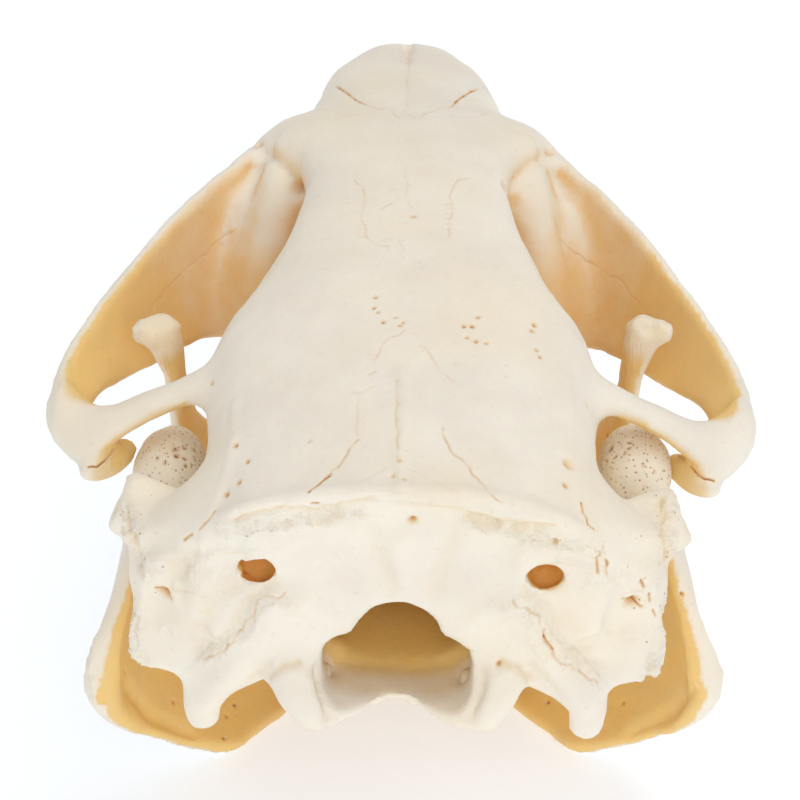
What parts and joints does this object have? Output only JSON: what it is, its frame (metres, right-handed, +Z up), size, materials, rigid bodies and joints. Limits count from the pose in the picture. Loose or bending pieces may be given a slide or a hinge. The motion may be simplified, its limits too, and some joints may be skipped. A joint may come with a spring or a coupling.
{
  "type": "beaver skull",
  "caption": "Life-size model of a beaver's skull with its lower jaw in place: a broad flat braincase, deep outward cheek arches, a boxy snout and curved front teeth, resting on the jaw.",
  "frame": {"origin": "centre of the skull's box, on the table under the jaw", "axes": "+Y towards the nose, along the skull's length; +X towards the animal's right; +Z up"},
  "size_m": [0.0978, 0.1244, 0.0811],
  "materials": {
    "bone": "dry cleaned bone, cream, satin on the worn ridges and chalky where it is porous",
    "enamel": "orange-brown tooth enamel, polished"
  },
  "bodies": {
    "root": {"braincase": "bone", "occipital": "bone", "nasal_left": "bone", "nasal_right": "bone", "premaxilla": "bone", "jugal_left": "bone", "jugal_right": "bone", "bulla_left": "bone", "bulla_right": "bone", "mandible_left": "bone", "mandible_right": "bone", "upper_incisor_left": "enamel", "upper_incisor_right": "enamel", "lower_incisor_left": "enamel", "lower_incisor_right": "enamel"}
  },
  "joints": []
}
